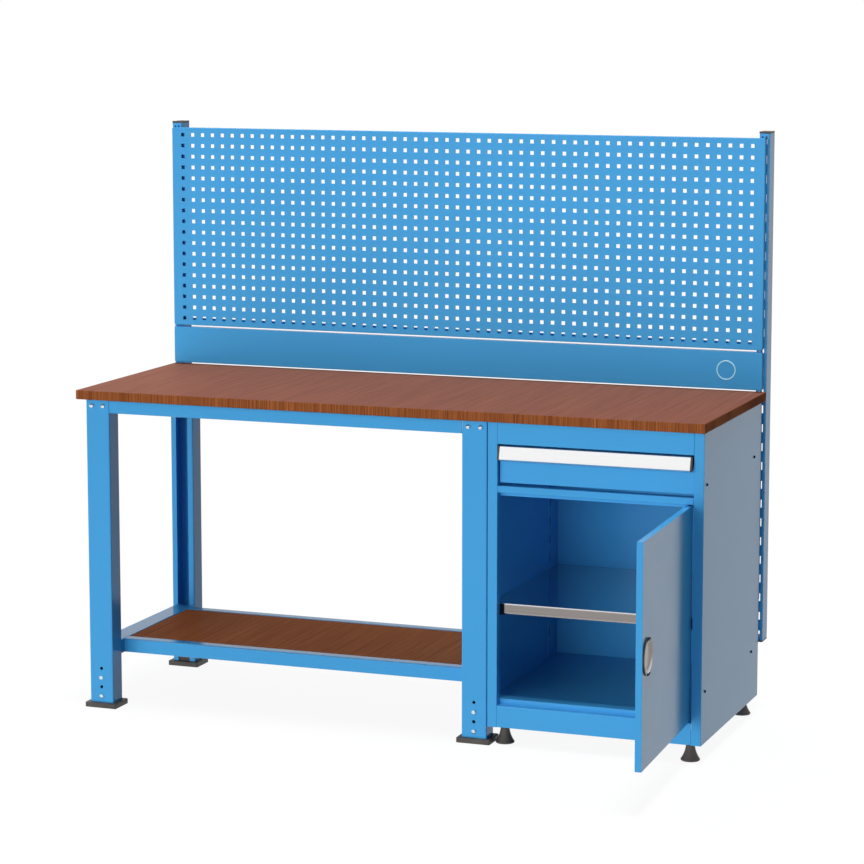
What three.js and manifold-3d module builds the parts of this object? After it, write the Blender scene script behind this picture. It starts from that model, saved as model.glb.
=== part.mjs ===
// Workbench with a perforated back panel, a lower shelf and a cabinet with one drawer and one door.
// Millimetres, +Z up, the front faces -Y and the door stands open as it rests.

import * as THREE from "three";
import { mergeGeometries, mergeVertices } from "three/addons/utils/BufferGeometryUtils.js";
import Module from "manifold-3d";

const wasm = await Module();
wasm.setup();

// Driving sizes of the bench
const benchWidth = 1700;
const benchDepth = 600;
const benchHeight = 850;
const topThickness = 24;
const topBevel = 1;
const frameSetback = 19; // legs and cabinet in from the front and rear of the worktop
const frameDepth = benchDepth - 2 * frameSetback;
const fit = 0.3; // gap between pieces that touch
const arcSteps = 2; // facets in one bend of folded sheet
const overcut = 1; // a cutter runs this far past the face it cuts

// Legs and their feet
const legWidth = 67;
const legDepth = 55;
const legLip = 16;
const legSheet = 2.5;
const legInset = 19; // left leg in from the end of the worktop
const footFlange = { width: 90, depth: 75, height: 13, corner: 4, bevel: 1.5 };
const plugHeight = 102; // part of the foot inside the leg
const nutSlot = { width: 12, depth: 18 }; // groove for the nuts, behind the column of holes
const bendPlay = 0.6; // gap of a piece that lies in the hollow of a bend
const boltHole = { radius: 4.5, first: 30, pitch: 25, count: 4, sides: 8 };

// Rails and lower shelf
const topRail = { height: 36, depth: 30, setback: 1 };
const shelfRail = { height: 37, top: 174.5, flange: 34, step: 14, ledge: 12, hem: 14 };
const shelfSetback = 68.5; // front and rear shelf rail in from the faces of the legs
const sideRailWidth = 58;
const boardThickness = 13;
const boardPlay = 2;

// Uprights, back panel and strip
const upright = { width: 28, depth: 50, sheet: 2, bottom: 188, rise: 11 }; // rise over the panel
const slot = { width: 4, length: 21, pitch: 50, margin: 16, offset: 5 };
const endCap = { thickness: 5, plug: 14, wall: 3, foot: 4 };
const panelInset = 7; // ends of the panel in from the ends of the bench
const panelWidth = benchWidth - 2 * panelInset;
const panelHeight = 550;
const panelDepth = 18;
const panelSheet = 1.5;
const panelGap = 5; // under the strip and under the panel
const panelHem = 19; // lip that stands up behind the bottom row of holes
const stripHeight = 100;
const hole = { size: 10, pitch: 30, margin: 16, skip: 2 }; // skip 2 punches every second hole
const port = { radius: 25, rim: 2, inset: 96, raise: 1.2, sides: 24 };
const bracket = { bottom: 300, drop: 46, sheet: 2.5, reach: 61, foot: 16 };

// Cabinet
const cabinetWidth = 557;
const cabinetInset = 6; // right side in from the end of the worktop
const cabinetGap = 2; // between the cabinet and the middle leg
const cabinetBottom = 46;
const cabinetSheet = 1.5;
const stile = 25.5;
const stileReturn = 22;
const rearFlange = 45;
const bottomFlange = 64;
const topFlange = 30;
const rebate = 20.5; // door stop behind the front face
const stopLip = 14; // step behind the bottom rail
const dividerLip = 10; // edge that hangs behind the divider
const topRailHeight = 57;
const drawerOpeningHeight = 105;
const dividerHeight = 17.5;
const bottomRailHeight = 56;
const railReturn = 26;
const cabinetFoot = {
  radius: 24,
  lip: 5,
  shoulder: { radius: 19.5, height: 10 },
  waist: { radius: 13, height: 25 },
  neck: { radius: 11, height: 35 },
  stem: { radius: 5, height: 24.3 },
  sides: 16,
};
const footInset = { front: 36, rear: 34 }; // from both faces of the cabinet corner
const standard = { width: 30, thickness: 1.5, setback: 70, lift: 4, drop: 6.5 };
const standardSlot = { width: 9, length: 21, pitch: 50, margin: 52 };
const innerShelf = { height: 244, lip: 27, hem: 12, lipEnd: 35, front: 29, back: 5 };
const clip = { length: 20, reach: 38, height: 28, foot: 6, tip: 8 };

// Drawer, its handle and its runners
const drawerGap = 3;
const drawerTopGap = 4.5;
const drawerRecess = 12;
const drawerFront = { thickness: 16, lift: 7 };
const panSheet = 1.5;
const panLip = 14;
const drawerBox = { rear: 53.7, lift: 1, height: 70, sheet: 1.5 }; // rear is the space behind the box
const runner = { width: 13.5, height: 45, sheet: 1.5, short: 2, standoff: 30 };
const handle = { sheet: 2, height: 36, top: 15, reach: 24, backFlange: 18, lip: 6, lipDrop: 5, cap: 4.5 };

// Door
const doorGap = 3;
const doorThickness = 16;
const doorAngle = 92.5; // degrees open at rest
const hingeInset = { side: 8, face: 6 };
const hingePin = { radius: 3, play: 0.3, length: 22, sides: 16 };
const cup = { radius: 45, bore: 37.5, raise: 4, depth: 11, wall: 1.5, flare: 6, edge: 2, sides: 32 };
const cupPlace = { inset: 47, height: 263 }; // from the free edge and the bottom edge of the door

// Places that follow from the driving sizes
const frontY = -frameDepth / 2;
const backY = frameDepth / 2;
const underTop = benchHeight - topThickness;
const shelfFaceY = backY - shelfSetback;
const legLeftX = -benchWidth / 2 + legInset;
const cabinetRightX = benchWidth / 2 - cabinetInset;
const cabinetLeftX = cabinetRightX - cabinetWidth;
const legMidX = cabinetLeftX - cabinetGap - legWidth;
const bayLeftX = legLeftX + legWidth;
const bayWidth = legMidX - bayLeftX;
const bayCentreX = bayLeftX + bayWidth / 2;
const openLeftX = cabinetLeftX + stile;
const openRightX = cabinetRightX - stile;
const openWidth = openRightX - openLeftX;
const cabinetCentreX = (cabinetLeftX + cabinetRightX) / 2;
const wallLeftX = cabinetLeftX + cabinetSheet;
const uprightFrontY = Math.max(benchDepth / 2, backY + frameSetback) + fit;
const uprightX = benchWidth / 2 - upright.width / 2;
const panelFrontY = uprightFrontY - fit - panelDepth;
const stripBottom = benchHeight + panelGap;
const panelBottom = stripBottom + stripHeight + panelGap;
const uprightTop = panelBottom + panelHeight + upright.rise;
const portX = panelWidth / 2 - port.inset;
const drawerTopZ = underTop - topRailHeight;
const drawerOpening = { top: drawerTopZ, bottom: drawerTopZ - drawerOpeningHeight };
const doorOpening = { top: drawerOpening.bottom - dividerHeight, bottom: cabinetBottom + bottomRailHeight };
const floorTop = doorOpening.bottom + stopLip;
const standardY = backY - standard.setback;
const drawerFaceY = frontY + drawerRecess;
const drawerBoxY = drawerFaceY + drawerFront.thickness + fit;
const drawerBoxDepth = backY - drawerBox.rear - drawerBoxY;
const frontBottom = drawerOpening.bottom + drawerFront.lift;
const frontTop = drawerOpening.top - drawerTopGap;
const boxBottom = frontBottom + drawerBox.lift;
const runnerCentre = boxBottom + drawerBox.height / 2;
const runnerLength = drawerBoxDepth - runner.short;
const hinge = {
  x: openRightX - doorGap - hingeInset.side,
  y: frontY + hingeInset.face,
};
const doorWidth = openWidth - 2 * doorGap;
const doorBottom = doorOpening.bottom + doorGap;
const doorTop = doorOpening.top - doorGap;
const doorFreeX = hingeInset.side - doorWidth;
const doorBackY = doorThickness - hingeInset.face;
const doorTurn = THREE.MathUtils.degToRad(doorAngle);
const footPlaces = [
  { end: "front", inset: footInset.front, y: frontY + footInset.front },
  { end: "rear", inset: footInset.rear, y: backY - footInset.rear },
];

const paint = (color, roughness, metalness) =>
  new THREE.MeshStandardMaterial({ color, roughness, metalness });
const blueSteel = paint(0x1c8ad6, 0.35, 0.1);
const woodBoard = paint(0x8a5230, 0.45, 0);
const blackPlastic = paint(0x34312f, 0.6, 0);
const zincSteel = paint(0xa39c95, 0.35, 0.8);
const aluminium = paint(0xe8e9ea, 0.3, 0.7);
const satinMetal = paint(0xb9b2aa, 0.3, 0.8);

const bench = new THREE.Group();
const door = new THREE.Group();

function place(parent, name, geometry, material, x = 0, y = 0, z = 0) {
  const mesh = new THREE.Mesh(geometry, material);
  mesh.name = name;
  mesh.position.set(x, y, z);
  parent.add(mesh);
  return mesh;
}

// Closed three.js geometry to a solid that can be joined and cut
function solid(geometry) {
  const bare = geometry.clone();
  bare.deleteAttribute("normal");
  bare.deleteAttribute("uv");
  const merged = mergeVertices(bare, 1e-4);
  return new wasm.Manifold(
    new wasm.Mesh({
      numProp: 3,
      vertProperties: new Float32Array(merged.attributes.position.array),
      triVerts: new Uint32Array(merged.index.array),
    }),
  );
}

function geometryOf(body) {
  const mesh = body.getMesh();
  const geometry = new THREE.BufferGeometry();
  geometry.setAttribute("position", new THREE.BufferAttribute(mesh.vertProperties, 3));
  geometry.setIndex(new THREE.BufferAttribute(mesh.triVerts, 1));
  geometry.computeVertexNormals();
  return geometry;
}

const join = (bodies) => bodies.reduce((sum, body) => sum.add(body));

// Box between two corners
function block(x0, x1, y0, y1, z0, z1) {
  const geometry = new THREE.BoxGeometry(x1 - x0, y1 - y0, z1 - z0);
  geometry.translate((x0 + x1) / 2, (y0 + y1) / 2, (z0 + z1) / 2);
  return geometry;
}

const blockSolid = (...corners) => solid(block(...corners));

// Upright round bar, or the cutter of a round hole
function bar(radius, z0, z1, sides, x, y) {
  const geometry = new THREE.CylinderGeometry(radius, radius, z1 - z0, sides);
  geometry.rotateX(Math.PI / 2);
  geometry.translate(x, y, (z0 + z1) / 2);
  return geometry;
}

// Outline of folded sheet: the sheet lies to the left of a path along its outer faces
function foldedSection(path, sheet, bend = 1.5 * sheet) {
  const points = path.map(([u, v]) => new THREE.Vector2(u, v));
  const steps = points.slice(1).map((point, i) => point.clone().sub(points[i]).normalize());
  const normals = steps.map((step) => new THREE.Vector2(-step.y, step.x));
  const shifted = points.map((point, i) => {
    const before = normals[Math.max(i - 1, 0)];
    const after = normals[Math.min(i, normals.length - 1)];
    const reach = sheet / (1 + before.dot(after));
    return point.clone().addScaledVector(before, reach).addScaledVector(after, reach);
  });
  const turns = steps.slice(1).map((step, i) => Math.sign(steps[i].cross(step)));
  const shape = new THREE.Shape();
  const corner = (point, from, to, radius) => {
    const start = point.clone().addScaledVector(from, -radius);
    const end = point.clone().addScaledVector(to, radius);
    shape.lineTo(start.x, start.y);
    shape.quadraticCurveTo(point.x, point.y, end.x, end.y);
  };
  const inner = Math.max(bend - sheet, sheet / 4);
  shape.moveTo(points[0].x, points[0].y);
  turns.forEach((turn, i) => {
    corner(points[i + 1], steps[i], steps[i + 1], turn > 0 ? bend : inner);
  });
  shape.lineTo(points.at(-1).x, points.at(-1).y);
  shape.lineTo(shifted.at(-1).x, shifted.at(-1).y);
  for (let i = turns.length - 1; i >= 0; i -= 1) {
    const back = steps[i].clone().negate();
    const forth = steps[i + 1].clone().negate();
    corner(shifted[i + 1], forth, back, turns[i] > 0 ? inner : bend);
  }
  shape.lineTo(shifted[0].x, shifted[0].y);
  shape.closePath();
  return shape;
}

function polygon(points) {
  return new THREE.Shape(points.map(([u, v]) => new THREE.Vector2(u, v)));
}

function rectangle(x0, x1, y0, y1) {
  return polygon([
    [x0, y0],
    [x1, y0],
    [x1, y1],
    [x0, y1],
  ]);
}

function roundedRectangle(width, depth, radius) {
  const shape = new THREE.Shape();
  const x = width / 2 - radius;
  const y = depth / 2 - radius;
  shape.absarc(x, y, radius, 0, Math.PI / 2);
  shape.absarc(-x, y, radius, Math.PI / 2, Math.PI);
  shape.absarc(-x, -y, radius, Math.PI, 1.5 * Math.PI);
  shape.absarc(x, -y, radius, 1.5 * Math.PI, 2 * Math.PI);
  shape.closePath();
  return shape;
}

const extrude = (shape, depth, curveSegments = arcSteps) =>
  new THREE.ExtrudeGeometry(shape, { depth, bevelEnabled: false, curveSegments });

const xAxis = new THREE.Vector3(1, 0, 0);
const yAxis = new THREE.Vector3(0, 1, 0);
const zAxis = new THREE.Vector3(0, 0, 1);
const sectionYZ = new THREE.Matrix4().makeBasis(yAxis, zAxis, xAxis);
const sectionXZ = new THREE.Matrix4().makeBasis(xAxis, zAxis, yAxis.clone().negate());

// Section drawn in Y and Z, run along X and centred there
function runX(shape, length, curveSegments = arcSteps) {
  const geometry = extrude(shape, length, curveSegments);
  geometry.translate(0, 0, -length / 2);
  return geometry.applyMatrix4(sectionYZ);
}

// Section drawn in X and Z, run along Y and centred there
function runY(shape, length, curveSegments = arcSteps) {
  const geometry = extrude(shape, length, curveSegments);
  geometry.translate(0, 0, -length / 2);
  return geometry.applyMatrix4(sectionXZ);
}

// Ring or cup turned about local Z from a profile of [radius, height]
function turned(profile, sides) {
  const points = profile.map(([radius, height]) => new THREE.Vector2(radius, height));
  return new THREE.LatheGeometry(points, sides).rotateX(Math.PI / 2);
}

function makeWorktop() {
  const shape = rectangle(
    -benchWidth / 2 + topBevel,
    benchWidth / 2 - topBevel,
    -benchDepth / 2 + topBevel,
    benchDepth / 2 - topBevel,
  );
  const board = new THREE.ExtrudeGeometry(shape, {
    depth: topThickness - 2 * topBevel,
    bevelSize: topBevel,
    bevelThickness: topBevel,
    bevelSegments: 1,
  });
  place(bench, "worktop", board, woodBoard, 0, 0, underTop + topBevel);
}

// Lipped channel with its closed web to the outside and a column of holes for the foot
function legGeometry() {
  const x = legWidth / 2;
  const y = legDepth / 2;
  const section = foldedSection(
    [
      [legLip - x, y],
      [-x, y],
      [-x, -y],
      [x, -y],
      [x, y],
      [x - legLip, y],
    ],
    legSheet,
  );
  const bottom = footFlange.height + fit;
  const channel = extrude(section, underTop - fit - bottom);
  channel.translate(0, 0, bottom);
  const cutters = [];
  for (let i = 0; i < boltHole.count; i += 1) {
    const cutter = new THREE.CylinderGeometry(boltHole.radius, boltHole.radius, 3 * legSheet, boltHole.sides);
    cutter.translate(0, -y, boltHole.first + i * boltHole.pitch);
    cutters.push(solid(cutter));
  }
  return geometryOf(solid(channel).subtract(join(cutters)));
}

function legFootGeometry() {
  const { width, depth, height, corner, bevel } = footFlange;
  const flange = new THREE.ExtrudeGeometry(
    roundedRectangle(width - 2 * bevel, depth - 2 * bevel, corner - bevel),
    {
      depth: height - bevel,
      bevelSize: bevel,
      bevelThickness: bevel,
      bevelSegments: 1,
      bevelOffset: 0,
      curveSegments: arcSteps,
    },
  );
  const wholeFlange = solid(flange).intersect(blockSolid(-width, width, -depth, depth, 0, height));
  const inside = 2 * (legSheet + bendPlay);
  const plugShape = roundedRectangle(legWidth - inside, legDepth - inside, corner);
  const plug = extrude(plugShape, plugHeight + height / 2).translate(0, 0, height / 2);
  const grooveX = nutSlot.width / 2;
  const grooveY = nutSlot.depth + inside / 2 - legDepth / 2;
  const plugTop = height + plugHeight + overcut;
  const groove = blockSolid(-grooveX, grooveX, -legDepth / 2, grooveY, height + fit, plugTop);
  return geometryOf(wholeFlange.add(solid(plug).subtract(groove)));
}

function makeLegs() {
  const leg = legGeometry();
  const foot = legFootGeometry();
  const columns = { left: legLeftX + legWidth / 2, mid: legMidX + legWidth / 2 };
  const rows = {
    front: { y: frontY + legDepth / 2, turn: 0 },
    rear: { y: backY - legDepth / 2, turn: Math.PI },
  };
  for (const [side, x] of Object.entries(columns)) {
    for (const [end, row] of Object.entries(rows)) {
      place(bench, `leg_${end}_${side}`, leg, blueSteel, x, row.y).rotation.z = row.turn;
      place(bench, `leg_foot_${end}_${side}`, foot, blackPlastic, x, row.y).rotation.z = row.turn;
    }
  }
}

// Channels under the worktop, closed face outward
function makeTopRails() {
  const { height, depth, setback } = topRail;
  const section = foldedSection(
    [
      [depth, height],
      [0, height],
      [0, 0],
      [depth, 0],
    ],
    legSheet,
  );
  const rail = runX(section, bayWidth - 2 * fit);
  const bottom = underTop - fit - height;
  place(bench, "top_rail_front", rail, blueSteel, bayCentreX, frontY + setback, bottom);
  place(bench, "top_rail_rear", rail, blueSteel, bayCentreX, backY - setback, bottom).rotation.z = Math.PI;
}

// Shelf frame: two inverted channels between the legs, two stepped rails that carry the board
function makeLowerShelf() {
  const { height, top, flange, step, ledge, hem } = shelfRail;
  const bottom = top - height;
  const stepped = foldedSection(
    [
      [flange + ledge, height - step],
      [flange, height - step],
      [flange, height],
      [0, height],
      [0, 0],
      [hem, 0],
    ],
    legSheet,
  );
  const rail = runX(stepped, bayWidth - 2 * fit);
  place(bench, "shelf_rail_front", rail, blueSteel, bayCentreX, -shelfFaceY, bottom);
  place(bench, "shelf_rail_rear", rail, blueSteel, bayCentreX, shelfFaceY, bottom).rotation.z = Math.PI;

  const half = sideRailWidth / 2;
  const channel = foldedSection(
    [
      [half, 0],
      [half, height],
      [-half, height],
      [-half, 0],
    ],
    legSheet,
  );
  const side = runY(channel, frameDepth - 2 * legDepth - 2 * fit);
  place(bench, "shelf_rail_left", side, blueSteel, bayLeftX - half, 0, bottom);
  place(bench, "shelf_rail_right", side, blueSteel, legMidX + half, 0, bottom);

  const boardDepth = 2 * (shelfFaceY - flange - boardPlay);
  const board = new THREE.BoxGeometry(bayWidth - 2 * boardPlay, boardDepth, boardThickness);
  const boardCentreZ = top - step + fit + boardThickness / 2;
  place(bench, "shelf_board", board, woodBoard, bayCentreX, 0, boardCentreZ);
}

// Slotted channel, open to the rear, with a plastic cap on each end
function makeUprights() {
  const x = upright.width / 2;
  const section = foldedSection(
    [
      [-x, upright.depth],
      [-x, 0],
      [x, 0],
      [x, upright.depth],
    ],
    upright.sheet,
  );
  const channel = extrude(section, uprightTop - upright.bottom);
  channel.translate(0, 0, upright.bottom);
  const cutters = [];
  const firstSlot = upright.bottom + slot.margin;
  for (let z = firstSlot; z < uprightTop - slot.margin; z += slot.pitch) {
    for (const side of [-slot.offset, slot.offset]) {
      const cutter = new THREE.BoxGeometry(slot.width, 4 * upright.sheet, slot.length);
      cutters.push(cutter.translate(side, 0, z));
    }
  }
  const post = geometryOf(solid(channel).subtract(solid(mergeGeometries(cutters))));

  const plugX = x - upright.sheet - bendPlay;
  const plugFrontY = upright.sheet + bendPlay;
  const plugBackY = upright.depth - endCap.wall;
  const capBlock = (z0, z1, plug0, plug1) =>
    geometryOf(
      blockSolid(-x, x, 0, upright.depth, z0, z1).add(
        blockSolid(-plugX, plugX, plugFrontY, plugBackY, plug0, plug1),
      ),
    );
  const topZ = uprightTop + fit;
  const footZ = upright.bottom - fit;
  const topCap = capBlock(topZ, topZ + endCap.thickness, topZ - endCap.plug, topZ + overcut);
  const footCap = capBlock(footZ - endCap.foot, footZ, footZ - overcut, footZ + endCap.plug / 2);
  for (const [side, sign] of Object.entries({ left: -1, right: 1 })) {
    place(bench, `upright_${side}`, post, blueSteel, sign * uprightX, uprightFrontY);
    place(bench, `upright_cap_top_${side}`, topCap, blackPlastic, sign * uprightX, uprightFrontY);
    place(bench, `upright_cap_foot_${side}`, footCap, blackPlastic, sign * uprightX, uprightFrontY);
  }
}

// Z brackets that hold the uprights off the rear legs and the back of the cabinet
function makeUprightBrackets() {
  const nearY = backY + fit;
  const farY = uprightFrontY - fit - bracket.sheet;
  const stepLeftX = legLeftX - bracket.sheet;
  const left = foldedSection(
    [
      [stepLeftX - bracket.foot, farY],
      [stepLeftX, farY],
      [stepLeftX, nearY],
      [stepLeftX + bracket.reach, nearY],
    ],
    bracket.sheet,
  );
  const stepRightX = uprightX - upright.width / 2 + bracket.sheet;
  const right = foldedSection(
    [
      [stepRightX - bracket.reach / 2, nearY],
      [stepRightX, nearY],
      [stepRightX, farY],
      [stepRightX + bracket.foot, farY],
    ],
    bracket.sheet,
  );
  const height = underTop - bracket.drop - bracket.bottom;
  place(bench, "upright_bracket_left", extrude(left, height), blueSteel, 0, 0, bracket.bottom);
  place(bench, "upright_bracket_right", extrude(right, height), blueSteel, 0, 0, bracket.bottom);
}

// Four edges turned back from a flat face, as one frame
function turnedEdges(height) {
  const x = panelWidth / 2;
  const outer = blockSolid(-x, x, 0, panelDepth, 0, height);
  const inX = x - panelSheet;
  const rear = panelDepth + overcut;
  return outer.subtract(blockSolid(-inX, inX, -overcut, rear, panelSheet, height - panelSheet));
}

// Face drawn in X and Z, one sheet thick
const facePlate = (shape, curveSegments) => {
  const plate = runY(shape, panelSheet, curveSegments);
  return solid(plate.translate(0, panelSheet / 2, 0));
};

function makePanel() {
  const x = panelWidth / 2;
  const steps = (length) => Math.floor((length - 2 * hole.margin) / hole.pitch);
  const columns = 2 * Math.floor(steps(panelWidth) / 2);
  const rows = steps(panelHeight);
  const firstX = -(hole.pitch * columns) / 2;
  const firstZ = (panelHeight - hole.pitch * rows) / 2;
  const half = hole.size / 2;
  const punches = [];
  for (let column = 0; column <= columns; column += hole.skip) {
    for (let row = 0; row <= rows; row += hole.skip) {
      const holeX = firstX + column * hole.pitch;
      const holeZ = firstZ + row * hole.pitch;
      const through = panelSheet + overcut;
      punches.push(block(holeX - half, holeX + half, -overcut, through, holeZ - half, holeZ + half));
    }
  }
  const face = blockSolid(-x, x, 0, panelSheet, 0, panelHeight).subtract(solid(mergeGeometries(punches)));
  const hem = blockSolid(-x, x, panelDepth - panelSheet, panelDepth, 0, panelHem);
  const panel = join([face, turnedEdges(panelHeight), hem]);
  place(bench, "perforated_panel", geometryOf(panel), blueSteel, 0, panelFrontY, panelBottom);
}

// Plain strip under the panel, with a covered cable port near its right end
function makeStrip() {
  const x = panelWidth / 2;
  const middle = stripHeight / 2;
  const face = rectangle(-x, x, 0, stripHeight);
  const opening = new THREE.Path();
  opening.absarc(portX, middle, port.radius, 0, 2 * Math.PI, true);
  face.holes.push(opening);
  const strip = facePlate(face, port.sides / 2).add(turnedEdges(stripHeight));
  place(bench, "cable_strip", geometryOf(strip), blueSteel, 0, panelFrontY, stripBottom);

  const rim = port.radius + port.rim / 2;
  const plug = port.radius - fit;
  const cover = turned(
    [
      [0, -panelSheet],
      [plug, -panelSheet],
      [plug, fit],
      [rim, fit],
      [rim, port.raise],
      [rim - port.rim, port.raise],
      [rim - port.rim, fit],
      [0, fit],
    ],
    port.sides,
  );
  const mesh = place(bench, "strip_port_cover", cover, blueSteel, portX, panelFrontY, stripBottom + middle);
  mesh.rotation.x = Math.PI / 2;
}

// Side wall, front stile, inner return and rear flange in one folded sheet, with top and bottom flanges
function makeCabinetSides() {
  const top = underTop - fit;
  const plan = [
    [cabinetLeftX + rearFlange, backY],
    [cabinetLeftX, backY],
    [cabinetLeftX, frontY],
    [openLeftX, frontY],
    [openLeftX, frontY + stileReturn],
  ];
  const mirrored = ([x, y]) => [2 * cabinetCentreX - x, y];
  const inBack = backY - 4 * cabinetSheet;
  const inFront = frontY + railReturn + 2 * fit;
  const flangeSet = (across) => {
    const strip = (width, z0) => {
      const [a, b] = [wallLeftX - cabinetSheet / 2, cabinetLeftX + width].map(across).sort((p, q) => p - q);
      return blockSolid(a, b, inFront, inBack, z0, z0 + cabinetSheet);
    };
    return strip(bottomFlange, cabinetBottom).add(strip(topFlange, top - cabinetSheet));
  };
  const stemHoles = (across) =>
    join(
      footPlaces.map(({ inset, y }) =>
        solid(
          bar(
            cabinetFoot.stem.radius + fit,
            cabinetBottom - overcut,
            cabinetBottom + 2 * cabinetSheet,
            cabinetFoot.sides,
            across(cabinetLeftX + inset),
            y,
          ),
        ),
      ),
    );
  const sides = {
    left: { path: plan, across: (x) => x },
    right: { path: plan.map(mirrored).reverse(), across: (x) => 2 * cabinetCentreX - x },
  };
  for (const [side, { path, across }] of Object.entries(sides)) {
    const wall = extrude(foldedSection(path, cabinetSheet, cabinetSheet), top - cabinetBottom);
    wall.translate(0, 0, cabinetBottom);
    const body = solid(wall).add(flangeSet(across)).subtract(stemHoles(across));
    place(bench, `cabinet_side_${side}`, geometryOf(body), blueSteel);
  }
}

function makeCabinetCore() {
  const top = underTop - fit;
  const innerWidth = cabinetWidth - 2 * (cabinetSheet + bendPlay);
  const inner = innerWidth / 2;
  const backFace = backY - cabinetSheet - fit;
  const backBottom = cabinetBottom + 2 * cabinetSheet;
  const backTop = top - 2 * cabinetSheet;
  const back = block(-inner, inner, backFace - cabinetSheet, backFace, backBottom, backTop);
  place(bench, "cabinet_back", back, blueSteel, cabinetCentreX);

  const stopY = frontY + rebate;
  const floorSheet = runX(
    foldedSection(
      [
        [backFace - cabinetSheet - fit, floorTop],
        [stopY, floorTop],
        [stopY, doorOpening.bottom],
        [frontY, doorOpening.bottom],
        [frontY, cabinetBottom],
        [frontY + railReturn, cabinetBottom],
      ],
      cabinetSheet,
    ),
    innerWidth,
  );
  const railHalf = openWidth / 2 - fit;
  const notchBack = frontY + stileReturn + fit;
  const notch = (x0, x1) => blockSolid(x0, x1, frontY - overcut, notchBack, 0, benchHeight);
  const flangeSlot = (x0, x1) =>
    blockSolid(x0, x1, notchBack - overcut, backY, cabinetBottom - overcut, backBottom);
  const pinX = hinge.x - cabinetCentreX;
  const pinHole = solid(
    bar(hingePin.radius + hingePin.play, cabinetBottom + railReturn, floorTop, hingePin.sides, pinX, hinge.y),
  );
  const floor = solid(floorSheet)
    .subtract(notch(-cabinetWidth, -railHalf))
    .subtract(notch(railHalf, cabinetWidth))
    .subtract(flangeSlot(-cabinetWidth, cabinetWidth))
    .subtract(pinHole);
  place(bench, "cabinet_floor", geometryOf(floor), blueSteel, cabinetCentreX);

  const topRailSheet = foldedSection(
    [
      [frontY + railReturn, top],
      [frontY, top],
      [frontY, drawerOpening.top],
      [frontY + stileReturn, drawerOpening.top],
    ],
    cabinetSheet,
  );
  place(bench, "cabinet_top_rail", runX(topRailSheet, 2 * railHalf), blueSteel, cabinetCentreX);

  const dividerSheet = foldedSection(
    [
      [frontY + railReturn, drawerOpening.bottom],
      [frontY, drawerOpening.bottom],
      [frontY, doorOpening.top],
      [stopY, doorOpening.top],
      [stopY, doorOpening.top - dividerLip],
    ],
    cabinetSheet,
  );
  const pinCut = solid(
    bar(
      hingePin.radius + hingePin.play,
      doorTop,
      doorOpening.top + 2 * cabinetSheet,
      hingePin.sides,
      pinX,
      hinge.y,
    ),
  );
  const divider = solid(runX(dividerSheet, 2 * railHalf)).subtract(pinCut);
  place(bench, "cabinet_divider", geometryOf(divider), blueSteel, cabinetCentreX);
}

function makeCabinetFeet() {
  const { radius, lip, shoulder, waist, neck, stem, sides } = cabinetFoot;
  const seat = cabinetBottom - fit;
  const stemTop = seat + stem.height;
  const foot = turned(
    [
      [0, 0],
      [radius, 0],
      [radius, lip],
      [shoulder.radius, shoulder.height],
      [waist.radius, waist.height],
      [neck.radius, neck.height],
      [neck.radius, seat],
      [stem.radius, seat],
      [stem.radius, stemTop],
      [0, stemTop],
    ],
    sides,
  );
  for (const { end, inset, y } of footPlaces) {
    place(bench, `cabinet_foot_${end}_left`, foot, blackPlastic, cabinetLeftX + inset, y);
    place(bench, `cabinet_foot_${end}_right`, foot, blackPlastic, cabinetRightX - inset, y);
  }
}

// Slotted strip at the rear of each side wall
function makeShelfStandards() {
  const z0 = floorTop + standard.lift;
  const z1 = doorOpening.top - standard.drop;
  const face = rectangle(-standard.width / 2, standard.width / 2, z0, z1);
  const halfWidth = standardSlot.width / 2;
  const halfLength = standardSlot.length / 2;
  const lowestSlot = z0 + standardSlot.margin;
  for (let z = z1 - standardSlot.margin; z > lowestSlot; z -= standardSlot.pitch) {
    face.holes.push(rectangle(-halfWidth, halfWidth, z - halfLength, z + halfLength));
  }
  const strip = runX(face, standard.thickness);
  const leftX = wallLeftX + fit + standard.thickness / 2;
  const rightX = 2 * cabinetCentreX - leftX;
  place(bench, "shelf_standard_left", strip, blueSteel, leftX, standardY);
  place(bench, "shelf_standard_right", strip, blueSteel, rightX, standardY);
}

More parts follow.
